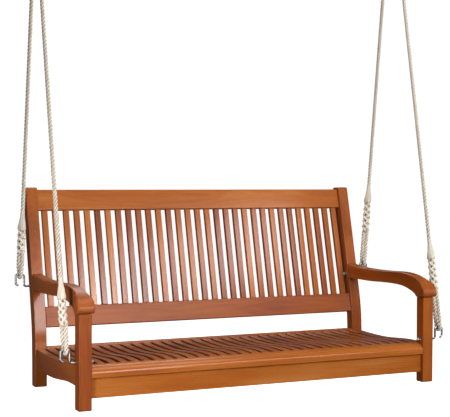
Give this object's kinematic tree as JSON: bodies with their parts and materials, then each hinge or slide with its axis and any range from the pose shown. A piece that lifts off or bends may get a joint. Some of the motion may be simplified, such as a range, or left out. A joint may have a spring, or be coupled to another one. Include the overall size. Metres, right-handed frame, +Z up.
{
  "type": "porch swing",
  "caption": "Slatted hardwood porch swing for two, hung from ceiling hooks by ropes at its front and rear posts.",
  "frame": {"origin": "middle of the line that the swing turns about, which runs along X through the bottoms of the two ceiling hooks", "axes": "+X towards the bench's right end as seen from the front, -Y the way the bench faces, +Z up"},
  "size_m": [1.398, 0.6086, 1.743],
  "materials": {
    "frame_wood": "oiled, satin",
    "slat_wood": "oiled, satin, colour varies from slat to slat",
    "zinc_steel": "bright zinc plated",
    "rope": "twisted, three strands, matt"
  },
  "bodies": {
    "ceiling_hooks": {"ceiling_hook_left": "zinc_steel", "ceiling_hook_right": "zinc_steel"},
    "swing": {"front_apron": "frame_wood", "seat_front_nosing": "frame_wood", "rear_seat_rail": "frame_wood", "seat_cross_batten": "frame_wood", "back_top_rail": "frame_wood", "back_bottom_rail": "frame_wood", "front_post_left": "frame_wood", "rear_post_left": "frame_wood", "arm_left": "frame_wood", "side_rail_left": "frame_wood", "front_post_right": "frame_wood", "rear_post_right": "frame_wood", "arm_right": "frame_wood", "side_rail_right": "frame_wood", "seat_slats": "slat_wood", "back_slat_01": "slat_wood", "back_slat_02": "slat_wood", "back_slat_03": "slat_wood", "back_slat_04": "slat_wood", "back_slat_05": "slat_wood", "back_slat_06": "slat_wood", "back_slat_07": "slat_wood", "back_slat_08": "slat_wood", "back_slat_09": "slat_wood", "back_slat_10": "slat_wood", "back_slat_11": "slat_wood", "back_slat_12": "slat_wood", "back_slat_13": "slat_wood", "back_slat_14": "slat_wood", "back_slat_15": "slat_wood", "back_slat_16": "slat_wood", "back_slat_17": "slat_wood", "back_slat_18": "slat_wood", "back_slat_19": "slat_wood", "back_slat_20": "slat_wood", "back_slat_21": "slat_wood", "back_slat_22": "slat_wood", "back_slat_23": "slat_wood", "back_slat_24": "slat_wood", "back_slat_25": "slat_wood", "back_slat_26": "slat_wood", "back_slat_27": "slat_wood", "back_slat_28": "slat_wood", "back_slat_29": "slat_wood", "back_slat_30": "slat_wood", "back_slat_31": "slat_wood", "rope_hook_front_left": "zinc_steel", "rope_hook_rear_left": "zinc_steel", "rope_hook_front_right": "zinc_steel", "rope_hook_rear_right": "zinc_steel", "cap_nut_front_left": "zinc_steel", "cap_nut_rear_left": "zinc_steel", "cap_nut_front_right": "zinc_steel", "cap_nut_rear_right": "zinc_steel", "rope_front_left": "rope", "rope_rear_left": "rope", "rope_front_right": "rope", "rope_rear_right": "rope"}
  },
  "joints": [
    {"name": "swing_hinge", "type": "hinge", "parent": "ceiling_hooks", "child": "swing", "pos_m": [0, 0, 0], "axis": [1, 0, 0], "range_deg": [-30, 30]}
  ]
}
